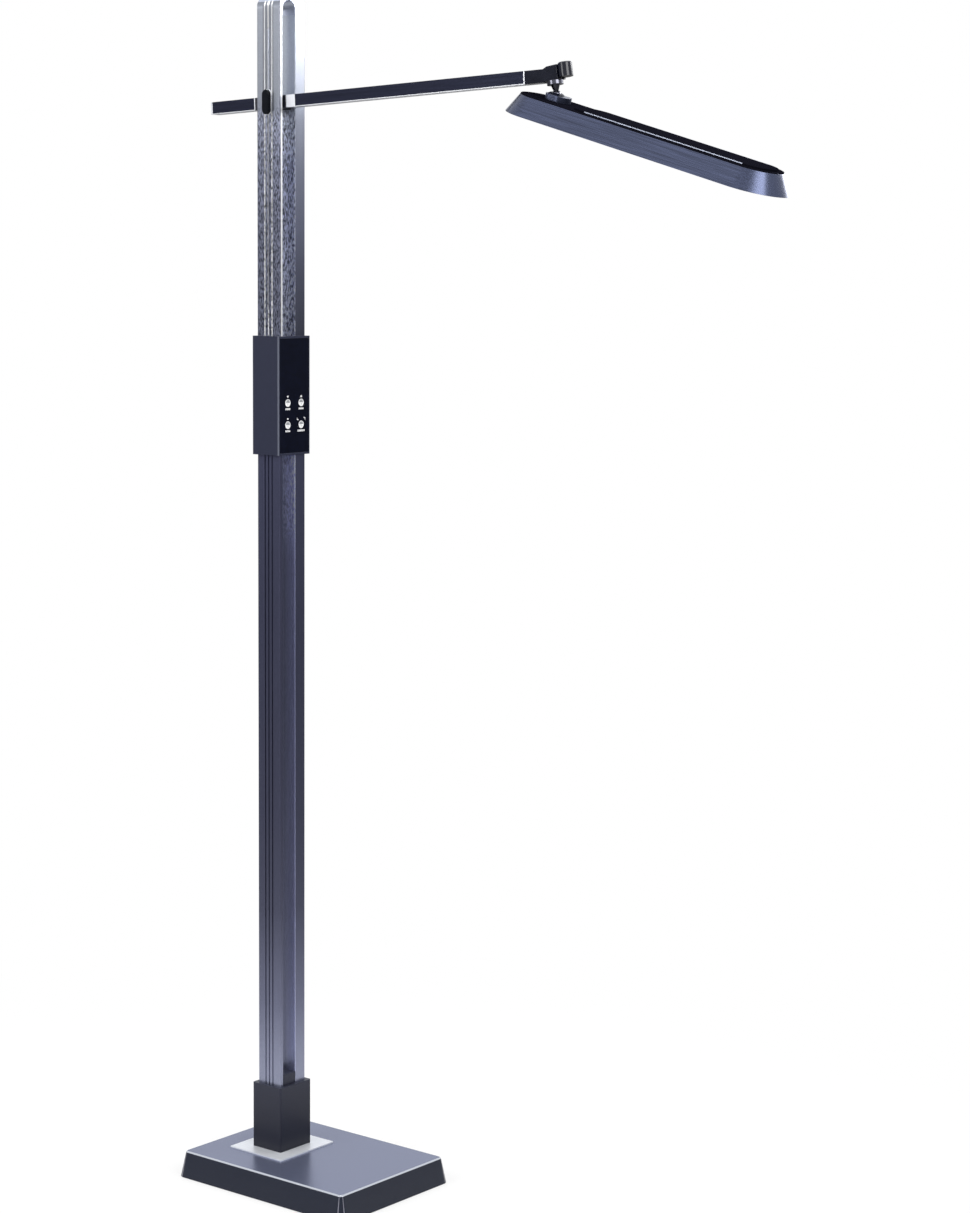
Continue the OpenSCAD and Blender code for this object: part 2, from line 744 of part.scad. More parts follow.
module carriage_cheeks() color("#1a1b20") at_carriage() {
    for (side = [-1, 1]) difference() {
        translate([0, side * (cheek_y0 + cheek_y1) / 2, 0]) rotate([90, 0, 0])
            translate([0, 0, -(cheek_y1 - cheek_y0) / 2])
                rounded_slab(cheek_l, cheek_h, 3, cheek_y1 - cheek_y0);
        rod_y(-channel_w, channel_w, pin_d / 2 + 0.02);
    }
}

module pivot_pin() color("#a9acb1") at_carriage() difference() {
    rod_y(-cheek_y1, cheek_y1, pin_d / 2);
    rod_y(-cheek_y1 - join, 0, stud_d / 2 + 0.02);
}

module friction_washers() color("#7a5a33") at_carriage() {
    for (side = [-1, 1]) difference() {
        translate([0, side * (arm_w / 2 + cheek_gap / 2), 0]) rod_y(-washer_t / 2, washer_t / 2, washer_r);
        rod_y(-channel_w, channel_w, pin_d / 2 + bore_gap);
    }
}

module clamp_stud() color("#a9acb1") at_carriage() {
    rod_y(knob_back - knob_t * 0.6, -0.5, stud_d / 2);
}

module oval_knob() color("#08080a") at_carriage() difference() {
    translate([0, knob_back, 0]) rotate([90, 90, 0]) {
        stadium_slab(knob_h, knob_w, knob_t - knob_edge);
        translate([0, 0, knob_t - knob_edge])
            stadium_slab(knob_h - 2 * knob_edge, knob_w - 2 * knob_edge, knob_edge);
    }
    rod_y(knob_back - knob_t * 0.65, knob_back + join, stud_d / 2 + bore_gap);
}

module arm_hub() color("#101116") at_pivot() difference() {
    union() {
        bar(-hub_back, hub_front, arm_w, arm_h);
        bar(-hub_back - tenon_l, hub_front + sleeve_l + tenon_l, tenon_w, tenon_h);
    }
    rod_y(-arm_w, arm_w, pin_d / 2 + bore_gap);
}

module hub_sleeve() color("#d9dbde") at_pivot() difference() {
    bar(sleeve_s, sleeve_s + sleeve_l, arm_w, arm_h);
    bar(sleeve_s - join, sleeve_s + sleeve_l + join, tenon_w + tenon_fit, tenon_h + tenon_fit);
}

module tail_ring() color("#d9dbde") at_pivot() difference() {
    bar(-hub_back - ring_t, -hub_back, arm_w, arm_h);
    bar(-hub_back - ring_t - join, -hub_back + join, tenon_w + tenon_fit, tenon_h + tenon_fit);
}

module tail_tube() color("#3c4060") at_pivot() {
    tube(tail_end, -hub_back - ring_t);
}

module tail_cap() color("#d9dbde") at_pivot() {
    bar(tail_end - tail_cap_t, tail_end, arm_w, arm_h);
    bar(tail_end - join, tail_end + tenon_l / 3, tenon_w, tenon_h);
}

module arm_tube() color("#3c4060") at_pivot() {
    tube(tube_s, ring_s);
}

module arm_end_ring() color("#d9dbde") at_pivot() difference() {
    bar(ring_s, plug_s, arm_w, arm_h);
    bar(ring_s - join, plug_s + join, tenon_w + tenon_fit, tenon_h + tenon_fit);
}

// A point of the stud frame's XZ plane, in the arm frame's.
function in_arm(x, z) = [stud_s + x * cos(knuckle_lean) - (z - stud_drop) * sin(knuckle_lean),
                         x * sin(knuckle_lean) + (z - stud_drop) * cos(knuckle_lean)];

module arm_end_fitting() color("#0a0a0d") difference() {
    union() {
        at_pivot() {
            bar(plug_s, plug_end, arm_w, arm_h);
            bar(plug_s - ring_t - tenon_l, plug_s + join, tenon_w, tenon_h);
            rotate([90, 0, 0]) translate([0, 0, -arm_w / 2]) linear_extrude(arm_w)
                polygon([[plug_end - join, -arm_h / 2], [plug_end, -arm_h / 2],
                         in_arm(-collar_r - glide, knuckle_z), in_arm(0, knuckle_z), in_arm(0, knuckle_top),
                         in_arm(-knuckle_back, knuckle_top), [plug_end, arm_h / 2],
                         [plug_end - join, arm_h / 2]]);
        }
        at_stud() translate([-join, -arm_w / 2, knuckle_z]) cube([knuckle_front + join, arm_w, knuckle_h]);
    }
    at_stud() {
        translate([0, 0, knuckle_z - join])
            cylinder(shaft_l + join + 0.5, shaft_r + bore_gap, shaft_r + bore_gap);
        translate([0, 0, clip_z - fit]) cylinder(clip_t + 2 * fit, clip_r + fit, clip_r + fit);
        translate([boss_ahead, 0, boss_z - 3 * join]) cylinder(boss_h + 6 * join, boss_r, boss_r);
    }
}

module end_boss() color("#0a0a0d") at_stud() translate([boss_ahead, 0, boss_z]) {
    seated_r = boss_r - bore_gap;
    cylinder(boss_h - boss_edge, seated_r, seated_r);
    translate([0, 0, boss_h - boss_edge]) cylinder(boss_edge, seated_r, seated_r - boss_edge);
}

// ---------- ball joint ----------

module ball_stud() color("#17171b") at_stud() {
    sphere(ball_r);
    translate([0, 0, ball_r - neck_sink]) cylinder(neck_top - ball_r + neck_sink, neck_r0, neck_r1);
    translate([0, 0, neck_top]) cylinder(collar_h, collar_r, collar_r);
    translate([0, 0, neck_top + collar_h - join]) cylinder(shaft_l + join, shaft_r, shaft_r);
}

// Snap ring that keeps the stud up in the knuckle.
module stud_clip() color("#a9acb1") at_stud() translate([0, 0, clip_z]) difference() {
    cylinder(clip_t, clip_r, clip_r);
    translate([0, 0, -join]) cylinder(clip_t + 2 * join, shaft_r + 0.02, shaft_r + 0.02);
}

module seat_ring() color("#8b8f96") at_head() difference() {
    sphere(seat_r1);
    sphere(seat_r0);
    translate([0, 0, seat_r0 * cos(mouth_angle)]) cylinder(2 * dome_r, 2 * dome_r, 2 * dome_r);
    translate([0, 0, -2 * dome_r - ring_below]) cylinder(2 * dome_r, 2 * dome_r, 2 * dome_r);
}

module dome_cap() color("#0a0a0d") at_head() difference() {
    translate([0, 0, block_top]) cylinder(dome_h, dome_r, socket_r * sin(mouth_angle) + mouth_lip);
    sphere(socket_r);
}

module head_block() color("#6e7488") at_head() difference() {
    translate([(block_front - block_back) / 2, 0, cover_z])
        stadium_slab(block_front + block_back, block_w, block_h);
    sphere(socket_r);
    head_screw_places()
        cylinder(block_h, head_screw_d / 2 + bore_gap, head_screw_d / 2 + bore_gap, center = true);
}

module head_screw_places() {
    for (x = head_screw_spots) translate([x, 0, cover_z]) children();
}

module head_screws() color("#8d9095") at_head() head_screw_places() {
    translate([0, 0, -cover_t - deck_t - head_screw_head_t])
        cylinder(head_screw_head_t, head_screw_d, head_screw_d);
    translate([0, 0, -cover_t - deck_t - 0.5])
        cylinder(cover_t + deck_t + 0.5 + block_h / 2 - 0.4, head_screw_d / 2, head_screw_d / 2);
}

// ---------- head ----------

module at_head_middle(z) {
    at_head() translate([head_ahead, 0, z]) children();
}

module head_screw_holes(r, h) {
    at_head() head_screw_places() cylinder(h, r, r, center = true);
}

// Width inside the head at height h above its lower edge.
function cavity_w(h) = head_w - 2 * head_wall - 2 * head_slope * h;

// Block that follows the inside of the head from height h0 to h1, with a gap to the wall.
module lining(h0, h1, gap) {
    at_head_middle(head_bottom + h0)
        stadium_frustum(head_straight, cavity_w(h0) - 2 * gap, cavity_w(h1) - 2 * gap, h1 - h0);
}

module head_housing() color("#4a5070") difference() {
    at_head_middle(head_bottom) stadium_frustum(head_straight, head_w, top_w, head_h);
    lining(-join, spreader_h1, 0);
    head_screw_holes(head_screw_d / 2 + fit, 4 * (cover_t + deck_t));
}

module top_cover() color("#08080b") difference() {
    at_head_middle(deck_top) stadium_slab(top_l - 2 * cover_inset, top_w - 2 * cover_inset, cover_t);
    head_screw_holes(head_screw_d / 2 + fit, 4 * (cover_t + deck_t));
}

module trim_bars(grow) {
    for (side = [-1, 1])
        translate([panel_start + panel_w / 2 - grow, side * (panel_w - trim_w) / 2 - trim_w / 2 - grow,
                   panel_t - trim_h])
            cube([panel_end - panel_start - panel_w + 2 * grow, trim_w + 2 * grow, trim_h + grow]);
}

module top_panel() color("#0a0b12") at_head() translate([0, 0, cover_z]) difference() {
    translate([(panel_start + panel_end) / 2, 0, 0]) stadium_slab(panel_end - panel_start, panel_w, panel_t);
    trim_bars(bore_gap);
}

module panel_trims() color("#e4e7ea") at_head() translate([0, 0, cover_z]) {
    trim_bars(0);
}

module heat_spreader() color("#b8bbc0") difference() {
    lining(spreader_h0, spreader_h1, spreader_gap);
    head_screw_holes(head_screw_clear_r, 4 * head_h);
}

module led_board() color("#e8e8e2") difference() {
    at_head_middle(head_bottom + board_h0) rounded_slab(board_l, board_w, board_corner_r, board_t);
    head_screw_holes(head_screw_clear_r, 4 * head_h);
}

module led_chips() color("#f2d35a") at_head_middle(head_bottom + board_h0 - chip_t) {
    for (i = [0 : led_columns - 1], j = [0 : chip_rows - 1])
        translate([chip_shift - chip_field_l / 2 + i * chip_field_l / (led_columns - 1) - chip_size / 2,
                   (j - (chip_rows - 1) / 2) * chip_pitch_y - chip_size / 2, 0])
            cube([chip_size, chip_size, chip_t]);
}

// White skirt between the bezel and the heat spreader.
module reflector_tray() color("#f4f4f0") difference() {
    lining(bezel_h1, spreader_h0, tray_gap);
    lining(bezel_h1 - join, spreader_h0 + join, tray_gap + tray_t);
}

// Ring on the inside of the wall that the diffuser seats against.
module diffuser_bezel() color("#c9ccd1") difference() {
    lining(diffuser_h1, bezel_h1, lining_gap);
    lining(diffuser_h1 - join, bezel_h1 + join, lining_gap + bezel_w);
}

module diffuser() color("#f5f5f2") {
    lining(diffuser_h0, diffuser_h1, lining_gap);
}

base_pad();
floor_plate();
base_weight();
base_cover();
floor_screws();
power_jack();
foot_plate();
socket_sleeve();
channel_insert();
foot_bolts();
socket_screws();
lower_fluted_plate();
lower_box_profile();
lower_wire();
controller_housing();
column_coupler();
coupler_screws();
controller_board();
led_driver();
touch_springs();
touch_panel();
touch_keys();
upper_fluted_plate();
upper_box_profile();
top_bridge();
carriage_cheeks();
pivot_pin();
friction_washers();
clamp_stud();
oval_knob();
arm_hub();
hub_sleeve();
tail_ring();
tail_tube();
tail_cap();
arm_tube();
arm_end_ring();
arm_end_fitting();
end_boss();
ball_stud();
stud_clip();
seat_ring();
dome_cap();
head_block();
head_screws();
head_housing();
top_cover();
top_panel();
panel_trims();
heat_spreader();
led_board();
led_chips();
reflector_tray();
diffuser_bezel();
diffuser();
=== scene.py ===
"""Visual model of an LED reading floor lamp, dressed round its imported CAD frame. Metres, +Z up."""
import json
import math

import bmesh
import bpy
from mathutils import Matrix, Vector


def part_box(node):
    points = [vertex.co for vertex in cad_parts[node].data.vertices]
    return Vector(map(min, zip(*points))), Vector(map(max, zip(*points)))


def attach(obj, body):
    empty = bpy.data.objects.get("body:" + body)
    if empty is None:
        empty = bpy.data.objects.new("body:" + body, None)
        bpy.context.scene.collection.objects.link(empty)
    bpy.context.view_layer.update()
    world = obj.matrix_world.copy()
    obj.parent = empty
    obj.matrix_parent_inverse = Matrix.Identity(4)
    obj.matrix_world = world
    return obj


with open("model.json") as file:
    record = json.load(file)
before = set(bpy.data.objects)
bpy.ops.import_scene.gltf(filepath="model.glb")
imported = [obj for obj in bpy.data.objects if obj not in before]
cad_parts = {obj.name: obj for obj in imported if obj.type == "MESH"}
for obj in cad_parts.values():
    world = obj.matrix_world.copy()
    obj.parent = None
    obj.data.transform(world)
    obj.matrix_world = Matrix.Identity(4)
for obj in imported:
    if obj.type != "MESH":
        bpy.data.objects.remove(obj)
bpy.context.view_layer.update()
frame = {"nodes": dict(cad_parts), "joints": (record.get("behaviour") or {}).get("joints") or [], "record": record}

MM = 0.001
PLAIN = (1, 1, 1)
scene = bpy.context.scene
slot_of = {p["node"]: p["material_slot"] for p in frame["record"]["subparts"]}
joints = {j["name"]: j for j in frame["joints"]}

# ---------------------------------------------------------------- slopes of the arm and the head

head_x = Vector(joints["head_roll"]["axis"]).normalized()
head_pitch = math.atan2(-head_x.z, head_x.x)
ARM_PITCH = -math.radians(2.6)
ARM_H = 14.7 * MM
# ARM_EDGE_H is how high the painted highlight along the arm's lower edge reaches.
ARM_EDGE_H = 0.9 * MM

# ---------------------------------------------------------------- node tools


class Nodes:
    """A node tree, with short ways to add nodes and links to it."""

    def __init__(self, tree):
        self.tree = tree

    def node(self, kind, **props):
        n = self.tree.nodes.new(kind)
        for key, value in props.items():
            setattr(n, key, value)
        return n

    def link(self, a, b):
        self.tree.links.new(a, b)

    def math(self, operation, a, b=None):
        """One step of arithmetic; a and b are sockets or plain numbers."""
        n = self.node("ShaderNodeMath", operation=operation)
        for socket, value in zip(n.inputs, (a, b)):
            if hasattr(value, "links"):
                self.link(value, socket)
            elif value is not None:
                socket.default_value = value
        return n.outputs[0]

    def part(self, vector, axis):
        n = self.node("ShaderNodeSeparateXYZ")
        self.link(vector, n.inputs["Vector"])
        return n.outputs[axis]

    def span(self, value, source=(0, 1), target=(0, 1), kind="LINEAR"):
        """Maps the source range of a value to the target range and holds it at both ends."""
        n = self.node("ShaderNodeMapRange", interpolation_type=kind)
        for socket, end in zip(("From Min", "From Max", "To Min", "To Max"), (*source, *target)):
            n.inputs[socket].default_value = end
        self.link(value, n.inputs["Value"])
        return n.outputs["Result"]

    def fade(self, value, source, target=(0, 1)):
        return self.span(value, source, target, "SMOOTHSTEP")

    def between(self, value, low, high):
        """1 where the value lies between low and high, 0 elsewhere."""
        above, below = self.math("GREATER_THAN", value, low), self.math("LESS_THAN", value, high)
        return self.math("MULTIPLY", above, below)

    def mix(self, fac, a, b):
        """The colour a where fac is 0 and b where it is 1; each is a socket or a plain colour."""
        n = self.node("ShaderNodeMixRGB")
        self.link(fac, n.inputs["Fac"])
        for name, value in (("Color1", a), ("Color2", b)):
            if hasattr(value, "links"):
                self.link(value, n.inputs[name])
            else:
                n.inputs[name].default_value = (*value, 1)
        return n.outputs["Color"]

    def mix_shader(self, fac, a, b):
        """The shader node a where fac is 0 and b where it is 1."""
        n = self.node("ShaderNodeMixShader")
        for socket, value in zip(n.inputs, (fac, a.outputs[0], b.outputs[0])):
            self.link(value, socket)
        return n


class Shader(Nodes):
    """A Principled material. Its texture space is the frame that its piece was built in, in metres."""

    def __init__(self, name, color, metallic=0.0, roughness=0.5, specular=0.5, coat=0.0, coat_rough=0.05):
        self.mat = bpy.data.materials.new(name)
        self.mat.use_nodes = True
        super().__init__(self.mat.node_tree)
        self.bsdf = self.tree.nodes["Principled BSDF"]
        self.color = color
        self.set("Base Color", (*color, 1))
        self.set("Metallic", metallic)
        self.set("Roughness", roughness)
        self.set("Specular IOR Level", specular)
        self.set("Coat Weight", coat)
        self.set("Coat Roughness", coat_rough)
        self.coords = self.node("ShaderNodeTexCoord").outputs["Object"]
        self.normal = None

    def set(self, socket, value):
        self.bsdf.inputs[socket].default_value = value

    def drive(self, socket, value):
        """Feeds a socket of the Principled node from another socket."""
        self.link(value, self.bsdf.inputs[socket])

    def feed_of(self, socket):
        """The socket that feeds this one, or its plain value where none does."""
        target = self.bsdf.inputs[socket]
        return target.links[0].from_socket if target.links else target.default_value

    def mapped(self, scale=(1, 1, 1), pitch=0.0):
        """Texture coordinates turned by pitch about Y, then scaled."""
        turn = self.node("ShaderNodeMapping")
        turn.inputs["Rotation"].default_value = (0, -pitch, 0)
        self.link(self.coords, turn.inputs["Vector"])
        stretch = self.node("ShaderNodeMapping")
        stretch.inputs["Scale"].default_value = scale
        self.link(turn.outputs["Vector"], stretch.inputs["Vector"])
        return stretch.outputs["Vector"]

    def noise(self, scale, detail=3.0, rough=0.5, stretch=(1, 1, 1), pitch=0.0):
        n = self.node("ShaderNodeTexNoise")
        n.inputs["Scale"].default_value = scale
        n.inputs["Detail"].default_value = detail
        n.inputs["Roughness"].default_value = rough
        self.link(self.mapped(stretch, pitch), n.inputs["Vector"])
        return n.outputs["Fac"]

    def ramp(self, fac, stops):
        """A colour that follows fac; stops are (place, colour)."""
        r = self.node("ShaderNodeValToRGB")
        ends = r.color_ramp.elements
        while len(ends) < len(stops):
            ends.new(0.5)
        for end, (place, color) in zip(ends, stops):
            end.position = place
            end.color = (*color, 1)
        self.link(fac, r.inputs["Fac"])
        return r.outputs["Color"]

    def scaled(self, vector, factor):
        n = self.node("ShaderNodeVectorMath", operation="SCALE")
        n.inputs["Scale"].default_value = factor
        self.link(vector, n.inputs[0])
        return n.outputs["Vector"]

    def tint(self, fac, spread, low=0.35, high=0.65):
        """Varies the base colour by spread either side of it."""
        dark = tuple(c * (1 - spread) for c in self.color)
        light = tuple(min(1, c * (1 + spread)) for c in self.color)
        self.drive("Base Color", self.ramp(fac, [(low, dark), (high, light)]))

    def vary_roughness(self, fac, low, high):
        self.drive("Roughness", self.span(fac, target=(low, high)))

    def bump(self, fac, depth, strength):
        b = self.node("ShaderNodeBump")
        b.inputs["Distance"].default_value = depth
        b.inputs["Strength"].default_value = strength
        self.link(fac, b.inputs["Height"])
        if self.normal:
            self.link(self.normal, b.inputs["Normal"])
        self.normal = b.outputs["Normal"]
        self.drive("Normal", self.normal)

    def soft_edges(self, radius):
        """Rounds sharp edges to the eye. It comes before the first bump."""
        bevel = self.node("ShaderNodeBevel", samples=4)
        bevel.inputs["Radius"].default_value = radius
        self.normal = bevel.outputs["Normal"]
        self.drive("Normal", self.normal)

    def multiply(self, factor):
        """Multiplies the base colour by a colour or vector."""
        both = self.node("ShaderNodeVectorMath", operation="MULTIPLY")
        self.link(self.feed_of("Base Color"), both.inputs[0])
        self.link(factor, both.inputs[1])
        self.drive("Base Color", both.outputs["Vector"])

    def painted_sheen_by_height(self, stops):
        """Painted sheen and shade: a factor for the base colour that changes with height; stops are (z, factor,
        blueness).
        """
        low, high = stops[0][0], stops[-1][0]
        top = max(factor for _, factor, _ in stops)
        place = self.span(self.part(self.coords, "Z"), (low, high))
        colors = [((z - low) / (high - low), (factor / top, factor / top, factor / top * blue))
                  for z, factor, blue in stops]
        return self.scaled(self.ramp(place, colors), top)

    def mottle(self, low, high, dark, light, mask):
        """Coarse sparkle of short upright flecks, from the height low up to the height high."""
        flecks = self.noise(900, detail=1, stretch=(1, 1, 0.25))
        level = self.ramp(flecks, [(0.37, (dark / light,) * 3), (0.63, PLAIN)])
        z = self.part(self.coords, "Z")
        above_low = self.fade(z, (low, low + MOTTLE_RISE))
        below_high = self.math("SUBTRACT", 1, self.fade(z, (high - MOTTLE_FALL, high)))
        where = self.math("MULTIPLY", self.math("MULTIPLY", above_low, below_high), mask)
        self.multiply(self.mix(where, PLAIN, self.scaled(level, light)))

    def metal_and_painted_highlight(self, mask, color, rough, metallic=1.0):
        """Another colour, roughness and metalness where the mask is 1. Callers use it for metal and metallic paint
        and for painted highlights.
        """
        self.drive("Base Color", self.mix(mask, self.feed_of("Base Color"), color))
        self.drive("Roughness", self.mix(mask, self.feed_of("Roughness"), (rough,) * 3))
        here = self.math("MULTIPLY", mask, metallic)
        self.drive("Metallic", self.math("MAXIMUM", here, self.feed_of("Metallic")))

    def facing(self, kind):
        """The surface's direction: "Normal", or "True Normal" without smoothing."""
        return self.node("ShaderNodeNewGeometry").outputs[kind]

    def turned(self, kind):
        """How far the surface faces between X and Y: 0 on a flat side, 0.5 halfway round a corner."""
        facing = self.facing(kind)
        x, y = (self.math("ABSOLUTE", self.part(facing, axis)) for axis in "XY")
        return self.math("MULTIPLY", x, y)


# ---------------------------------------------------------------- materials

# The chamfer's bare metal, and the colours of the painted highlights in thin lines beside the base's upright
# corners and along the arm's lower edge.
CHAMFER_METAL = (0.62, 0.64, 0.68)
CORNER_LINE_HIGHLIGHT = (0.24, 0.24, 0.29)
ARM_EDGE_HIGHLIGHT = (0.75, 0.76, 0.79)
# Which way the surface faces: its Z on a flat top and on the chamfer, and the turn (see Shader.turned) at the
# upright corners that get a painted highlight and at the base's corner lines, which are painted highlights too.
TOP_LEAN = 0.97
CHAMFER_LEAN = (0.5, 0.9)
CORNER_TURN = 0.3
CORNER_LINE_TURN = (0.26, 0.36)


def blasted(name, color, grain, rough, edge=0.5 * MM):
    """Blasted and dyed aluminium: fine speckle over faint lines along the extrusion."""
    s = Shader(name, color, metallic=0.85, roughness=rough)
    s.soft_edges(edge)
    speckle = s.noise(1500, detail=2, rough=0.7)
    s.tint(speckle, grain)
    s.vary_roughness(s.noise(900, detail=2, stretch=(1, 1, 0.01)), rough - 0.07, rough + 0.09)
    s.bump(speckle, depth=0.03 * MM, strength=0.35)
    return s


def anodised(name, color, grain=0.14, rough=0.34, heights=None):
    s = blasted(name, color, grain, rough)
    # heights paints sheen and shade into the colour, changing with height.
    if heights:
        s.multiply(s.painted_sheen_by_height(heights))
    return s.mat


# The fluted plates' outer face: its flutes, how wide and deep the painted highlight in them and the slot goes, and
# the painted shade on its lands higher up.
FLUTES = 3
FLUTE_PITCH = 5.8 * MM
FLUTE_SHARE = 0.36
FLUTE_DEPTH = 2.6 * MM
SLOT_REACH = 1.8 * MM
LAND_DEPTH = 0.3 * MM
LAND_SHADE = (0.62,) * 3
LAND_FOOT_Z = 1.31
# The painted highlight along the edge at the back of a plate, where it meets the channel.
BACK_EDGE_W = 0.6 * MM
BACK_EDGE_D = 3.4 * MM


def flute_highlights_and_shade(s, x, y, low, high):
    """Painted highlights in the flutes and slot of a plate, with painted shade on the lands between them near the
    top.
    """
    middle = (low.x + high.x) / 2
    half = FLUTES * FLUTE_PITCH / 2
    fluted = s.between(x, middle - half, middle + half)
    # Painted shade on the lands, above LAND_FOOT_Z.
    lands = s.math("MULTIPLY", fluted, s.math("LESS_THAN", y, low.y + LAND_DEPTH))
    lands = s.math("MULTIPLY", lands, s.math("GREATER_THAN", s.part(s.coords, "Z"), LAND_FOOT_Z))
    s.multiply(s.mix(lands, PLAIN, LAND_SHADE))
    # Painted highlight: white in the flutes and the slot.
    turns = s.math("FRACT", s.math("DIVIDE", s.math("SUBTRACT", x, middle - half), FLUTE_PITCH))
    in_flute = s.math("MULTIPLY", s.between(turns, 0.5 - FLUTE_SHARE / 2, 0.5 + FLUTE_SHARE / 2), fluted)
    in_slot = s.between(x, middle - SLOT_REACH, middle + SLOT_REACH)
    sunk = s.between(y, low.y + LAND_DEPTH, low.y + FLUTE_DEPTH)
    mask = s.math("MULTIPLY", s.math("MAXIMUM", in_flute, in_slot), sunk)
    s.metal_and_painted_highlight(mask, PLAIN, rough=0.5, metallic=0.15)


def column_finish_and_painted_light(name, color, heights, face_heights, face_y, plate=None, flecks=None, across=None):
    """Blasted profile with painted sheen and shade by height. Its faces ahead of face_y follow face_heights, the
    rest follows heights.

    plate is the box of a fluted plate, which gets painted highlights and painted shade, flecks says where the
    faces sparkle, and across is (far x, near x, far factor, near factor), a painted shade gradient over the faces.
    """
    s = blasted(name, color, grain=0.15, rough=0.31, edge=0.4 * MM)
    x, y = s.part(s.coords, "X"), s.part(s.coords, "Y")
    in_face = s.math("LESS_THAN", y, face_y)
    # Painted sheen and shade by height, one set for the faces and one for the rest.
    s.multiply(s.mix(in_face, s.painted_sheen_by_height(heights), s.painted_sheen_by_height(face_heights)))
    # A painted shade gradient across the faces.
    if across:
        s.multiply(s.mix(in_face, PLAIN, s.span(x, across[:2], across[2:])))
    if plate:
        flute_highlights_and_shade(s, x, y, *plate)
    if flecks:
        s.mottle(*flecks, mask=in_face)
    # A painted highlight on the plate's back edge.
    if plate:
        high = plate[1]
        edge = s.math("MULTIPLY", s.math("GREATER_THAN", x, high.x - BACK_EDGE_W),
                      s.between(y, high.y - BACK_EDGE_D, high.y))
        s.metal_and_painted_highlight(edge, PLAIN, rough=0.4, metallic=0.1)
    return s.mat


def brushed(name, color, pitch, rough=0.3, spread=0.22, metallic=0.9, lower_edge=None, coat=0.0):
    """Brushed and dyed aluminium, its lines along the piece. lower_edge is the arm tube's box; a painted highlight
    runs along its lower edge.
    """
    s = Shader(name, color, metallic=metallic, roughness=rough, coat=coat, coat_rough=0.25)
    s.soft_edges(0.4 * MM)
    lines = s.noise(1100, detail=4, rough=0.65, stretch=(0.012, 1, 1), pitch=pitch)
    s.tint(lines, spread, low=0.3, high=0.7)
    s.vary_roughness(lines, rough - 0.08, rough + 0.12)
    s.bump(lines, depth=0.04 * MM, strength=0.3)
    # A painted highlight along the lower edge of the arm.
    if lower_edge:
        low = lower_edge[0]
        start = low.x + ARM_H * math.sin(-ARM_PITCH)
        rise = s.math("MULTIPLY", s.math("SUBTRACT", s.part(s.coords, "X"), start), -math.tan(ARM_PITCH))
        above = s.math("SUBTRACT", s.math("SUBTRACT", s.part(s.coords, "Z"), low.z), rise)
        s.metal_and_painted_highlight(s.math("LESS_THAN", above, ARM_EDGE_H), ARM_EDGE_HIGHLIGHT, rough=0.35, metallic=0.5)
    return s.mat


def polished(name, color, rough):
    s = Shader(name, color, metallic=1.0, roughness=rough)
    s.soft_edges(0.25 * MM)
    s.vary_roughness(s.noise(60, rough=0.6), rough * 0.7, rough * 1.5)
    scratches = s.noise(700, detail=2, stretch=(1, 0.03, 0.03))
    s.bump(scratches, depth=0.008 * MM, strength=0.25)
    return s.mat


def steel(name, color):
    s = Shader(name, color, metallic=1.0, roughness=0.32)
    lines = s.noise(900, rough=0.6, stretch=(1, 1, 0.1))
    s.tint(lines, 0.12)
    s.vary_roughness(lines, 0.26, 0.42)
    return s.mat


def powder_coat(name, color, rough, specular, heights=None, corner=None):
    """Fine textured paint, with painted sheen and shade by height where heights is given; corner is the colour of
    a painted highlight on its upright corners.
    """
    s = Shader(name, color, roughness=rough, specular=specular)
    s.soft_edges(0.5 * MM)
    grain = s.noise(1300, rough=0.6)
    s.tint(grain, 0.18)
    s.vary_roughness(grain, rough - 0.06, rough + 0.1)
    s.bump(grain, depth=0.05 * MM, strength=0.3)
    # Painted sheen and shade by height.
    if heights:
        s.multiply(s.painted_sheen_by_height(heights))
    # A painted highlight on the upright corners.
    if corner:
        mask = s.math("GREATER_THAN", s.turned("True Normal"), CORNER_TURN)
        s.metal_and_painted_highlight(mask, corner, rough, metallic=0.5)
    return s.mat


def gloss_black(name, color, rough, specular):
    """Moulded gloss plastic with the faint waviness of a painted part."""
    s = Shader(name, color, roughness=rough, specular=specular)
    s.soft_edges(0.5 * MM)
    wave = s.noise(120, detail=2, rough=0.4)
    s.vary_roughness(wave, rough * 0.7, rough * 1.5)
    s.tint(wave, 0.15)
    s.bump(wave, depth=0.02 * MM, strength=0.12)
    return s.mat


def lacquered(name, color, top_color, rough=0.2):
    """Dark base paint, metallic on the flat top, with bright metal on the chamfer and thin painted highlights
    beside the upright corners."""
    s = Shader(name, color, roughness=rough, specular=0.2)
    s.soft_edges(0.3 * MM)
    flake = s.noise(1500, detail=2, rough=0.6)
    s.tint(flake, 0.15)
    s.vary_roughness(flake, rough - 0.03, rough + 0.05)
    s.bump(s.noise(90, detail=2, rough=0.4), depth=0.02 * MM, strength=0.1)
    lean = s.part(s.facing("True Normal"), "Z")
    s.metal_and_painted_highlight(s.math("GREATER_THAN", lean, TOP_LEAN), top_color, rough=0.27, metallic=0.6)
    s.metal_and_painted_highlight(s.between(lean, *CHAMFER_LEAN), CHAMFER_METAL, rough=0.2)
    # Painted highlights: thin lines beside the upright corners.
    s.metal_and_painted_highlight(s.between(s.turned("Normal"), *CORNER_LINE_TURN), CORNER_LINE_HIGHLIGHT, rough=0.3, metallic=0.4)
    return s.mat


def moulded(name, color, rough=0.5, specular=0.4, grain=700):
    """Plain moulded plastic or rubber with a spark-eroded grain."""
    s = Shader(name, color, roughness=rough, specular=specular)
    grains = s.noise(grain, rough=0.6)
    s.tint(grains, 0.1)
    s.bump(grains, depth=0.04 * MM, strength=0.3)
    return s.mat


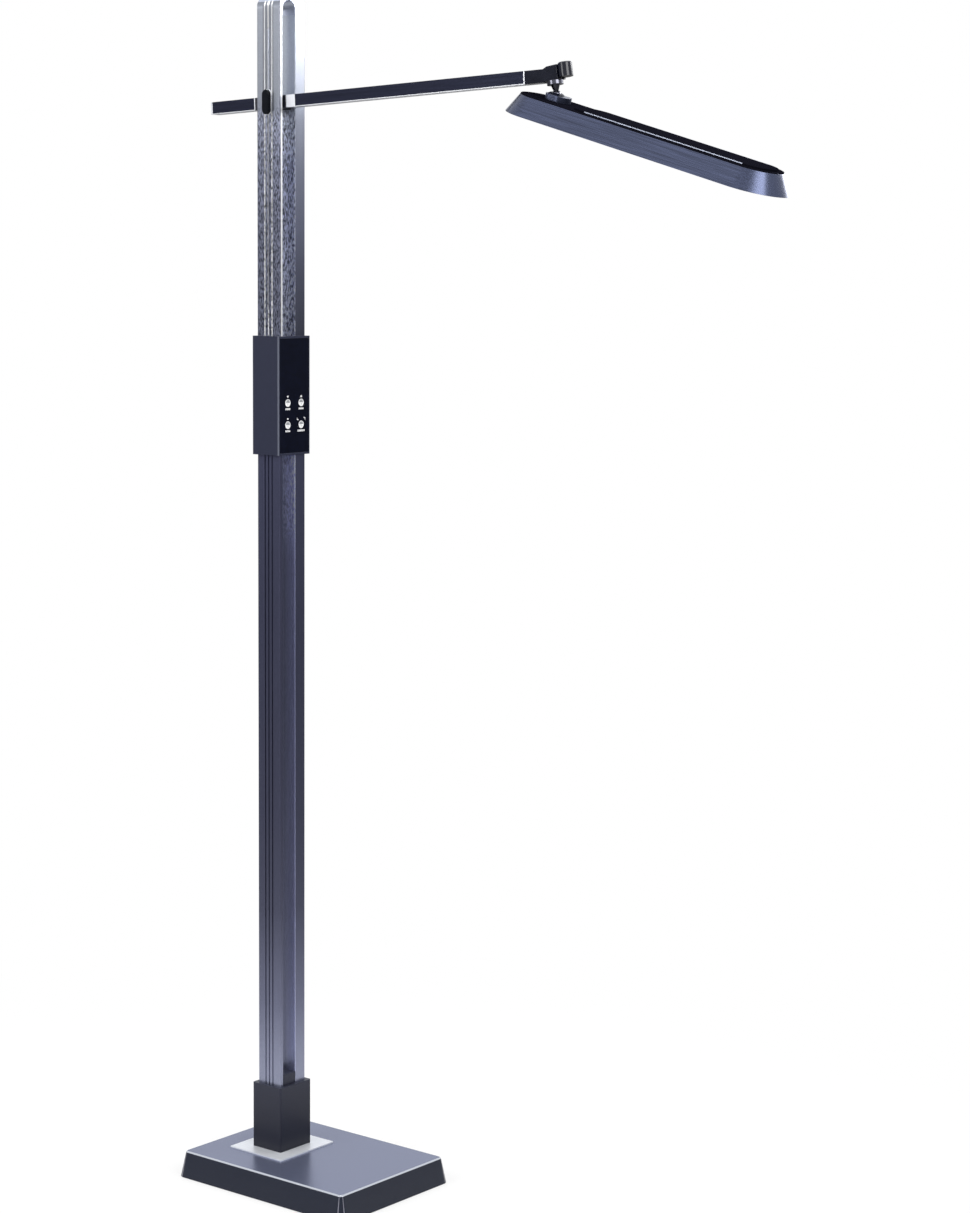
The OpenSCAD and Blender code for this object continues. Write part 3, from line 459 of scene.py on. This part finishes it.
def cast(name, color):
    s = Shader(name, color, metallic=0.6, roughness=0.65)
    lumps = s.noise(260, detail=5, rough=0.7)
    s.tint(lumps, 0.3)
    s.bump(lumps, depth=0.3 * MM, strength=0.5)
    return s.mat


def diffusing(name, color):
    """Opal acrylic with prism dots."""
    s = Shader(name, color, roughness=0.35, specular=0.4)
    s.set("Transmission Weight", 0.25)
    dots = s.node("ShaderNodeTexVoronoi")
    dots.inputs["Scale"].default_value = 420
    dots.inputs["Randomness"].default_value = 0.15
    s.link(s.mapped(), dots.inputs["Vector"])
    s.tint(dots.outputs["Distance"], 0.03, low=0.1, high=0.6)
    s.bump(dots.outputs["Distance"], depth=0.08 * MM, strength=0.25)
    return s.mat


UPPER_COLOR = (0.16, 0.17, 0.22)
LOWER_COLOR = (0.085, 0.090, 0.14)

# Painted sheen and shade of the column's faces and of the sleeve by height: (z, factor, blueness).
LOWER_SHADE = [(0.10, 3.3, 0.86), (0.15, 2.9, 0.88), (0.22, 1.8, 0.94), (0.34, 0.97, 1), (0.46, 0.85, 1.05),
               (0.7, 0.9, 1.08), (0.9, 1.0, 1.1)]
LOWER_CHANNEL = [(0.10, 3.9, 0.9), (0.34, 2.7, 1), (0.7, 3.0, 1), (0.77, 3.2, 1), (0.86, 5.2, 1),
                 (0.9, 5.2, 1)]
UPPER_PLATE = [(1.04, 0.70, 1.06), (1.12, 0.82, 1.06), (1.24, 0.95, 1.05), (1.30, 1.25, 1),
               (1.33, 1.65, 0.88), (1.45, 1.5, 0.88)]
UPPER_SHADE = [(1.04, 0.45, 1.1), (1.12, 0.75, 1.1), (1.17, 1.08, 1.08), (1.244, 1.4, 1), (1.30, 1.9, 0.95),
               (1.33, 3.0, 0.9), (1.45, 3.6, 0.9)]
UPPER_CHANNEL = [(1.04, 3.5, 1.03), (1.12, 2.8, 1.03), (1.244, 2.3, 1.03), (1.341, 3.6, 0.86),
                 (1.45, 3.6, 0.84)]
SLEEVE_SHADE = [(0.03, 0.5, 1), (0.13, 1.15, 1)]

# Flecks on the column's faces: (lowest z, highest z, darkest factor, brightest factor). They come in
# over MOTTLE_RISE at the foot and go out over MOTTLE_FALL at the top.
MOTTLE_RISE = 20 * MM
MOTTLE_FALL = 30 * MM
UPPER_FLECKS = (1.02, 1.325, 0.28, 1.95)
LOWER_FLECKS = (0.79, 0.93, 0.72, 1.4)

# lower_anodised, upper_anodised and sleeve_black carry painted sheen and shade by height, base_paint and
# controller_paint painted highlights on their corners, and arm_navy a painted highlight along its lower edge.
MATERIALS = {
    "rubber": moulded("rubber", (0.03, 0.03, 0.032), rough=0.75, specular=0.3, grain=500),
    "steel": steel("steel", (0.55, 0.56, 0.58)),
    "iron": cast("iron", (0.13, 0.13, 0.135)),
    "base_paint": lacquered("base_paint", (0.016, 0.019, 0.032), (0.17, 0.19, 0.285)),
    "polished_metal": polished("polished_metal", (0.80, 0.81, 0.84), rough=0.3),
    "sleeve_black": powder_coat("sleeve_black", (0.026, 0.028, 0.044), rough=0.3, specular=0.18,
                                heights=SLEEVE_SHADE),
    "lower_anodised": anodised("lower_anodised", LOWER_COLOR, heights=LOWER_SHADE),
    "upper_anodised": anodised("upper_anodised", UPPER_COLOR, grain=0.3, heights=UPPER_SHADE),
    "controller_paint": powder_coat("controller_paint", (0.019, 0.022, 0.045), rough=0.36, specular=0.3,
                                    corner=(0.16, 0.17, 0.22)),
    "panel_black": gloss_black("panel_black", (0.002, 0.003, 0.010), rough=0.12, specular=0.15),
    "key_silver": moulded("key_silver", (0.93, 0.94, 0.95), rough=0.4),
    "board_green": moulded("board_green", (0.04, 0.2, 0.09), rough=0.35),
    "component_black": moulded("component_black", (0.02, 0.02, 0.024)),
    "spring_brass": steel("spring_brass", (0.7, 0.52, 0.2)),
    "wire_black": moulded("wire_black", (0.02, 0.02, 0.02)),
    "slider_black": moulded("slider_black", (0.02, 0.02, 0.024), rough=0.45),
    "washer_fibre": moulded("washer_fibre", (0.28, 0.16, 0.07), rough=0.8, specular=0.2, grain=900),
    "knob_black": gloss_black("knob_black", (0.004, 0.005, 0.008), rough=0.09, specular=0.2),
    "hub_black": powder_coat("hub_black", (0.015, 0.016, 0.024), rough=0.3, specular=0.4),
    "arm_navy": brushed("arm_navy", (0.016, 0.018, 0.034), ARM_PITCH, lower_edge=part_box("arm_tube")),
    "fitting_black": gloss_black("fitting_black", (0.006, 0.007, 0.015), rough=0.10, specular=0.35),
    "stud_black": polished("stud_black", (0.10, 0.10, 0.12), rough=0.12),
    "seat_grey": moulded("seat_grey", (0.3, 0.31, 0.33), rough=0.4),
    "block_blue": anodised("block_blue", (0.07, 0.08, 0.13), grain=0.08, rough=0.24),
    "housing_navy": brushed("housing_navy", (0.060, 0.071, 0.122), head_pitch, rough=0.25, spread=0.4,
                            coat=0.25),
    "cover_black": moulded("cover_black", (0.006, 0.006, 0.010), specular=0.0, grain=900),
    "bare_aluminium": steel("bare_aluminium", (0.6, 0.61, 0.63)),
    "board_white": moulded("board_white", (0.8, 0.8, 0.77)),
    "led_yellow": moulded("led_yellow", (0.85, 0.65, 0.15), rough=0.3),
    "tray_white": moulded("tray_white", (0.82, 0.82, 0.80), rough=0.4),
    "diffuser_white": diffusing("diffuser_white", (0.86, 0.87, 0.87)),
}

# How deep a face's painted sheen and shade go behind its surface: past a plate's flutes, or just into a box
# profile.
PLATE_FACE = 2 * MM
BOX_FACE = 0.4 * MM
# The channel's far and near side, measured from the lower box profile's near side.
CHANNEL_FAR = 18 * MM
CHANNEL_NEAR = 1 * MM
upper_plate, lower_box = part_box("upper_fluted_plate"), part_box("lower_box_profile")
plate_face_y = upper_plate[0].y + PLATE_FACE
channel_xs = (lower_box[1].x - CHANNEL_FAR, lower_box[1].x - CHANNEL_NEAR)
# Pieces with a finish of their own; the column's carry painted sheen, shade and highlights.
own_finish_and_painted_light = {
    "upper_fluted_plate": column_finish_and_painted_light("upper_plate_finish_and_painted_light", UPPER_COLOR, UPPER_SHADE, UPPER_PLATE,
                                        plate_face_y, upper_plate, UPPER_FLECKS),
    "top_bridge": column_finish_and_painted_light("top_bridge_finish_and_painted_light", UPPER_COLOR, UPPER_SHADE, UPPER_PLATE,
                                plate_face_y, upper_plate),
    "upper_box_profile": column_finish_and_painted_light("upper_box_finish_and_painted_light", UPPER_COLOR, UPPER_SHADE, UPPER_CHANNEL,
                                       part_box("upper_box_profile")[0].y + BOX_FACE, flecks=UPPER_FLECKS,
                                       across=(*channel_xs, 0.85, 1.15)),
    "lower_box_profile": column_finish_and_painted_light("lower_box_finish_and_painted_light", LOWER_COLOR, LOWER_SHADE, LOWER_CHANNEL,
                                       lower_box[0].y + BOX_FACE, flecks=LOWER_FLECKS,
                                       across=(*channel_xs, 0.55, 1.9)),
    "foot_plate": brushed("foot_plate_finish", (0.80, 0.82, 0.86), pitch=0.0, rough=0.42, spread=0.1,
                          metallic=0.45),
    "panel_trims": steel("trim_finish", (0.34, 0.37, 0.45)),
}
for name, node in frame["nodes"].items():
    node.data.materials.clear()
    node.data.materials.append(own_finish_and_painted_light.get(name, MATERIALS[slot_of[name]]))

# ---------------------------------------------------------------- mesh tools


def piece(name, bm, body, slot, smooth=True):
    """Puts a mesh in the scene as a piece of the lamp."""
    mesh = bpy.data.meshes.new(name)
    bmesh.ops.recalc_face_normals(bm, faces=bm.faces)
    bm.to_mesh(mesh)
    bm.free()
    obj = bpy.data.objects.new(name, mesh)
    scene.collection.objects.link(obj)
    mesh.materials.append(MATERIALS[slot])
    for poly in mesh.polygons:
        poly.use_smooth = smooth
    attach(obj, body)


def join_rings(bm, ring, after):
    """Faces between two closed rings of vertices."""
    for i in range(len(ring)):
        j = (i + 1) % len(ring)
        bm.faces.new((ring[i], ring[j], after[j], after[i]))


SYMBOL_T = 0.12 * MM


def printed(bm, outline, x, y, z):
    """A thin print of a closed outline of (u, v), u along Y and v along Z, on the face at x."""
    back, front = ([bm.verts.new((x + depth, y + u, z + v)) for u, v in outline] for depth in (0, SYMBOL_T))
    bm.faces.new(front)
    bm.faces.new(back[::-1])
    join_rings(bm, back, front)


def triangle(size, up):
    """An upright triangle, its point up or down."""
    s = size if up else -size
    return [(-size, -s * 0.6), (size, -s * 0.6), (0, s * 0.9)][:: 1 if up else -1]


def bar(width, height, v=0.0, u=0.0):
    return [(u - width / 2, v - height / 2), (u + width / 2, v - height / 2),
            (u + width / 2, v + height / 2), (u - width / 2, v + height / 2)]


# ---------------------------------------------------------------- touch panel symbols

KEY_R = 4.5 * MM
STROKE = 0.8 * MM

# A caption is a row of blocks below a key. The near lower key's is the long one.
CAPTION_DROP = 2.8 * MM
BLOCK_W = 1.5 * MM
BLOCK_H = 2.3 * MM
BLOCK_PITCH = 2.2 * MM
SHORT_CAPTION = 4
LONG_CAPTION = 6

# Signs stand above the keys: triangles over the upper two, a block and two brackets over the lower two.
SIGN_RISE = 3 * MM
TRIANGLE = 1.8 * MM
SIGN_W = 2.2 * MM
SIGN_H = 1.9 * MM
BRACKET_REACH = 6 * MM
BRACKET_RISE = 2.4 * MM
BRACKET_H = 2.6 * MM
BRACKET_W = 1.8 * MM
BRACKET_OUT = 0.9 * MM
FOOT_IN = 0.4 * MM
FOOT_VS = (-0.9 * MM, 1.3 * MM)

key_low, key_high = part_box("touch_keys")
panel_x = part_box("touch_panel")[1].x
key_ys = (key_low.y + KEY_R, key_high.y - KEY_R)
key_zs = (key_low.z + KEY_R, key_high.z - KEY_R)
key_tops = [z + KEY_R for z in key_zs]

bm = bmesh.new()
for i, y in enumerate(key_ys):
    for j, z in enumerate(key_zs):
        blocks = LONG_CAPTION if (i, j) == (1, 0) else SHORT_CAPTION
        for k in range(blocks):
            shift = (k - (blocks - 1) / 2) * BLOCK_PITCH
            printed(bm, bar(BLOCK_W, BLOCK_H, u=shift), panel_x, y, z - KEY_R - CAPTION_DROP)
for y, up in zip(key_ys, (False, True)):
    printed(bm, triangle(TRIANGLE, up), panel_x, y, key_tops[1] + SIGN_RISE)
printed(bm, bar(SIGN_W, SIGN_H), panel_x, key_ys[0], key_tops[0] + SIGN_RISE)
for side, foot_v in zip((-1, 1), FOOT_VS):
    place = (panel_x, key_ys[1] + side * BRACKET_REACH, key_tops[0] + BRACKET_RISE)
    printed(bm, bar(STROKE, BRACKET_H, u=side * BRACKET_OUT), *place)
    printed(bm, bar(BRACKET_W, STROKE, v=foot_v, u=-side * FOOT_IN), *place)
piece("panel_symbols", bm, "stand", "key_silver", smooth=False)

# Each key carries a plain half disc over a short upright bar.
MARK_R = 3.4 * MM
MARK_STEPS = 16
MARK_RISE = 0.3 * MM
STEM_W = 0.5 * MM
STEM_H = 2.6 * MM
STEM_V = -1.9 * MM

angles = [math.pi * k / MARK_STEPS for k in range(MARK_STEPS + 1)]
dome = [(MARK_R * math.cos(a), MARK_R * math.sin(a)) for a in angles]
bm = bmesh.new()
for y in key_ys:
    for z in key_zs:
        printed(bm, dome, key_high.x, y, z + MARK_RISE)
        printed(bm, bar(STEM_W, STEM_H, v=STEM_V), key_high.x, y, z + MARK_RISE)
piece("key_marks", bm, "stand", "seat_grey", smooth=False)

# ---------------------------------------------------------------- knob rim

RIM_PROUD = 0.7 * MM
RIM_T = 1.3 * MM
RIM_SEAT = 0.05 * MM


def stadium(half_w, half_h, steps=24):
    """Outline of an upright stadium: half_w wide, half_h high from its centre."""
    straight = half_h - half_w
    points = []
    for start, centre in ((0, straight), (math.pi, -straight)):
        for i in range(steps + 1):
            a = start + math.pi * i / steps
            points.append((half_w * math.cos(a), centre + half_w * math.sin(a)))
    return points


knob_low, knob_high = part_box("oval_knob")
knob_x, knob_z = (knob_low.x + knob_high.x) / 2, (knob_low.z + knob_high.z) / 2
half_w, half_h = (knob_high.x - knob_low.x) / 2, (knob_high.z - knob_low.z) / 2

# The rim's section, from the plate's side to the front: (how far past the knob, how far forward).
section = [(RIM_SEAT, 0), (RIM_PROUD * 0.8, 0), (RIM_PROUD, 0.2 * MM), (RIM_PROUD, RIM_T - 0.4 * MM),
           (RIM_PROUD * 0.7, RIM_T - 0.1 * MM), (RIM_SEAT, RIM_T)]
bm = bmesh.new()
rings = [[bm.verts.new((knob_x + u, knob_high.y - forward, knob_z + v))
          for u, v in stadium(half_w + past, half_h + past)]
         for past, forward in section]
for ring, after in zip(rings, rings[1:] + rings[:1]):
    join_rings(bm, ring, after)
piece("knob_rim", bm, "knob", "polished_metal")

# ---------------------------------------------------------------- camera

YAW = math.radians(38.735)
PITCH = math.radians(7.335)
ROLL = math.radians(0.488)
CAMERA_PLACE = (2.2527, -2.4765, 1.1505)
LENS_MM = 82.55
SENSOR_MM = 36.0

camera_data = bpy.data.cameras.new("camera")
camera_data.lens = LENS_MM
camera_data.sensor_width = SENSOR_MM
camera_data.clip_end = 100
camera = bpy.data.objects.new("camera", camera_data)
camera.matrix_world = (Matrix.Translation(CAMERA_PLACE)
                       @ Matrix.Rotation(YAW, 4, "Z")
                       @ Matrix.Rotation(math.pi / 2 - PITCH, 4, "X")
                       @ Matrix.Rotation(ROLL, 4, "Z"))
scene.collection.objects.link(camera)
scene.camera = camera

# ---------------------------------------------------------------- lamps

# Softboxes: name, place, target, size, watts. The last one only puts an edge of light on the head's tip.
LAMPS = [
    ("key", (-0.9, -3.4, 2.6), (0.1, 0, 0.8), (1.6, 2.4), 70),
    ("fill", (3.25, -1.1, 2.6), (0.5, 0, 1.2), (2.1, 1.3), 58),
    ("top", (0.2, 0.4, 3.6), (0.1, 0, 0.6), (2.4, 2.4), 30),
    ("rim", (0.65, 0.72, 1.655), (0, 0, 1.4), (0.5, 0.26), 4.5),
    ("left", (-2.2, -2.3, 1.95), (0, 0, 1.3), (1.0, 0.4), 5),
    ("nose", (0.60, 0.70, 1.40), (0.66, 0, 1.2), (0.45, 0.4), 0.32),
]
NOSE_SPREAD = math.radians(50)


def softbox(name, place, target, size, watts):
    data = bpy.data.lights.new(name, "AREA")
    data.shape = "RECTANGLE"
    data.size, data.size_y = size
    data.energy = watts
    lamp = bpy.data.objects.new(name, data)
    lamp.location = place
    lamp.rotation_euler = (Vector(target) - Vector(place)).to_track_quat("-Z", "Y").to_euler()
    scene.collection.objects.link(lamp)
    return lamp


lamps = {values[0]: softbox(*values) for values in LAMPS}
lamps["nose"].data.spread = NOSE_SPREAD

# ---------------------------------------------------------------- world

# Plain white to the eye, an even ambient light, and for mirrors a studio that is dim along the
# horizon, white above it and white along one fixed wall behind the lamp.
AMBIENT = 0.55
WALL_COLOR = (0.93, 0.95, 1)
WALL_DIM = 0.3
OVERHEAD = 1.0
HORIZON_FADE = (0.03, 0.2)
BACK_WALL = 1.1
BACK_WALL_TURN = math.radians(38.735)
BACK_WALL_FADE = (0.88, 0.96)

world = bpy.data.worlds.new("studio")
world.use_nodes = True
scene.world = world
sky = Nodes(world.node_tree)
ambient = sky.tree.nodes["Background"]
backdrop, walls = sky.node("ShaderNodeBackground"), sky.node("ShaderNodeBackground")
for light, color in ((ambient, PLAIN), (backdrop, PLAIN), (walls, WALL_COLOR)):
    light.inputs["Color"].default_value = (*color, 1)
ambient.inputs["Strength"].default_value = AMBIENT
way = sky.node("ShaderNodeTexCoord").outputs["Generated"]
toward_wall = sky.node("ShaderNodeVectorMath", operation="DOT_PRODUCT")
toward_wall.inputs[1].default_value = (-math.sin(BACK_WALL_TURN), math.cos(BACK_WALL_TURN), 0)
sky.link(way, toward_wall.inputs[0])
sky.link(sky.math("MAXIMUM", sky.fade(sky.part(way, "Z"), HORIZON_FADE, (WALL_DIM, OVERHEAD)),
                  sky.fade(toward_wall.outputs["Value"], BACK_WALL_FADE, (WALL_DIM, BACK_WALL))),
         walls.inputs["Strength"])
path = sky.node("ShaderNodeLightPath").outputs
through = sky.math("MAXIMUM", path["Is Camera Ray"], path["Is Transmission Ray"])
lit = sky.mix_shader(path["Is Glossy Ray"], ambient, walls)
sky.link(sky.mix_shader(through, lit, backdrop).outputs[0], sky.tree.nodes["World Output"].inputs["Surface"])

# ---------------------------------------------------------------- floor

# A pale sweep that takes the lamp's shadow and runs out to white. Each fade is (near, far) in metres
# from the origin, with its values there.
FLOOR_HALF = 12.0
PAPER_FADE, PAPER_GREY = (0.4, 2.5), (0.9, 0.35)
WHITE_FADE, WHITE_SHARE = (0.3, 1.1), (0.72, 1.0)
SHADED_WHITE = (0.95, 0.95, 0.95)

floor_mesh = bpy.data.meshes.new("floor")
corners = [(x * FLOOR_HALF, y * FLOOR_HALF, 0) for x, y in ((-1, -1), (1, -1), (1, 1), (-1, 1))]
floor_mesh.from_pydata(corners, [], [(0, 1, 2, 3)])
floor = bpy.data.objects.new("floor", floor_mesh)
scene.collection.objects.link(floor)
floor_mat = bpy.data.materials.new("floor")
floor_mat.use_nodes = True
sweep = Nodes(floor_mat.node_tree)
paper = sweep.tree.nodes["Principled BSDF"]
paper.inputs["Roughness"].default_value = 0.9
paper.inputs["Specular IOR Level"].default_value = 0.0
reach = sweep.node("ShaderNodeVectorMath", operation="LENGTH")
sweep.link(sweep.node("ShaderNodeTexCoord").outputs["Object"], reach.inputs[0])
distance = reach.outputs["Value"]
grey = sweep.node("ShaderNodeCombineColor")
level = sweep.fade(distance, PAPER_FADE, PAPER_GREY)
for channel in ("Red", "Green", "Blue"):
    sweep.link(level, grey.inputs[channel])
sweep.link(grey.outputs["Color"], paper.inputs["Base Color"])
shaded = sweep.node("ShaderNodeBsdfDiffuse")
shaded.inputs["Color"].default_value = (*SHADED_WHITE, 1)
white = sweep.node("ShaderNodeEmission")
pale = sweep.mix_shader(sweep.fade(distance, WHITE_FADE, WHITE_SHARE), shaded, white)
eye = sweep.node("ShaderNodeLightPath").outputs["Is Camera Ray"]
surface = sweep.tree.nodes["Material Output"].inputs["Surface"]
sweep.link(sweep.mix_shader(eye, paper, pale).outputs[0], surface)
floor_mesh.materials.append(floor_mat)

scene.view_settings.view_transform = "Standard"
